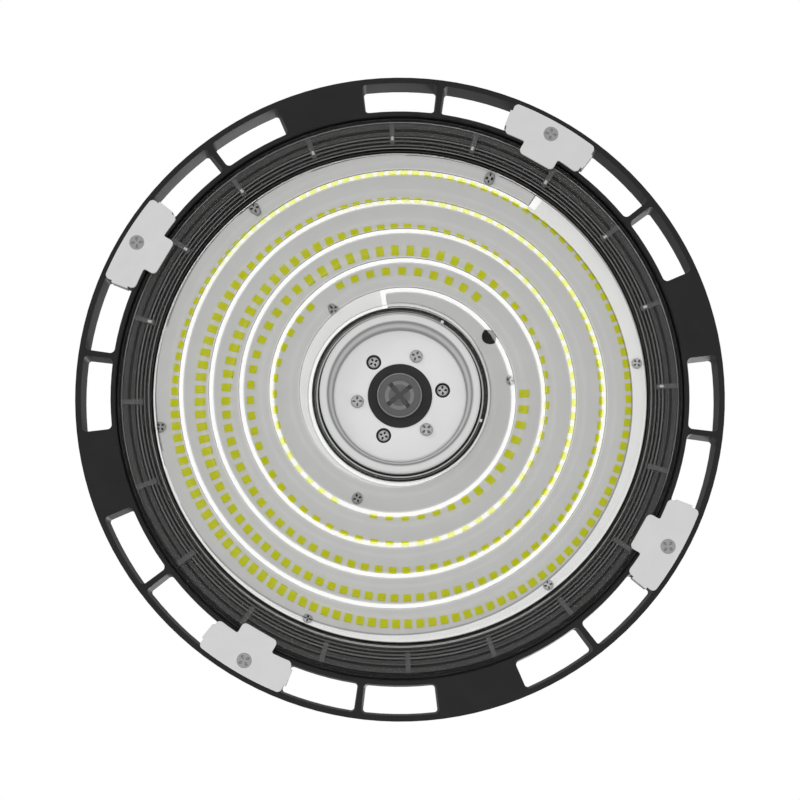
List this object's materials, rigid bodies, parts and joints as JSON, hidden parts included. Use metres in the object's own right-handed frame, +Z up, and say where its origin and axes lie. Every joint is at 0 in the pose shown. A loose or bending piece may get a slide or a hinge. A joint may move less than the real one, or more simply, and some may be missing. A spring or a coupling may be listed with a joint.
{
  "type": "high bay light",
  "caption": "Round hanging industrial light with a slotted outer ring, spiral clear lens over rings of light chips, finned back and a lifting eye",
  "frame": {"origin": "centre of the light on its axis, at its lowest plane, which is the front of the clips and of the centre cover's lip", "axes": "+Z up along the hanging axis, from the lens to the eye; the light shines along -Z; the eye's bore runs along Y and the cable gland sits on the +Y side; image right in the picture is +X"},
  "size_m": [0.34, 0.34, 0.147],
  "materials": {
    "black_casting": "fine matt black powder coat on cast aluminium",
    "black_rubber": "black rubber",
    "clear_lens": "clear moulded plastic",
    "white_board": "matt white solder mask",
    "yellow_chips": "yellow phosphor",
    "bright_screws": "bright steel",
    "pale_cover": "satin light grey",
    "black_plastic": "black plastic",
    "grey_plastic": "smoked grey plastic",
    "clip_steel": "satin light grey steel sheet",
    "driver_case": "black driver case",
    "eye_steel": "plated forged steel"
  },
  "bodies": {
    "root": {"housing": "black_casting", "lens_gasket_outer": "black_rubber", "lens_gasket_inner": "black_rubber", "lens": "clear_lens", "led_board": "white_board", "led_ring_1": "yellow_chips", "led_ring_2": "yellow_chips", "led_ring_3": "yellow_chips", "led_ring_4": "yellow_chips", "led_ring_5": "yellow_chips", "board_screws_outer": "bright_screws", "board_screws_inner": "bright_screws", "centre_cover": "pale_cover", "cover_screws": "bright_screws", "driver_screws": "bright_screws", "sensor_port": "black_plastic", "port_nut": "black_plastic", "port_plug": "grey_plastic", "plug_seal": "black_rubber", "clip_1": "clip_steel", "clip_2": "clip_steel", "clip_3": "clip_steel", "clip_4": "clip_steel", "clip_screws": "bright_screws", "led_driver": "driver_case", "wire_grommet": "black_rubber", "output_lead": "black_rubber", "cover_gasket": "black_rubber", "driver_cover": "black_casting", "lid_screws": "bright_screws", "eyebolt": "eye_steel", "eyebolt_washer": "bright_screws", "eyebolt_nut": "bright_screws", "gland_body": "black_plastic", "gland_seal": "black_rubber", "gland_nut": "black_plastic"}
  },
  "joints": []
}
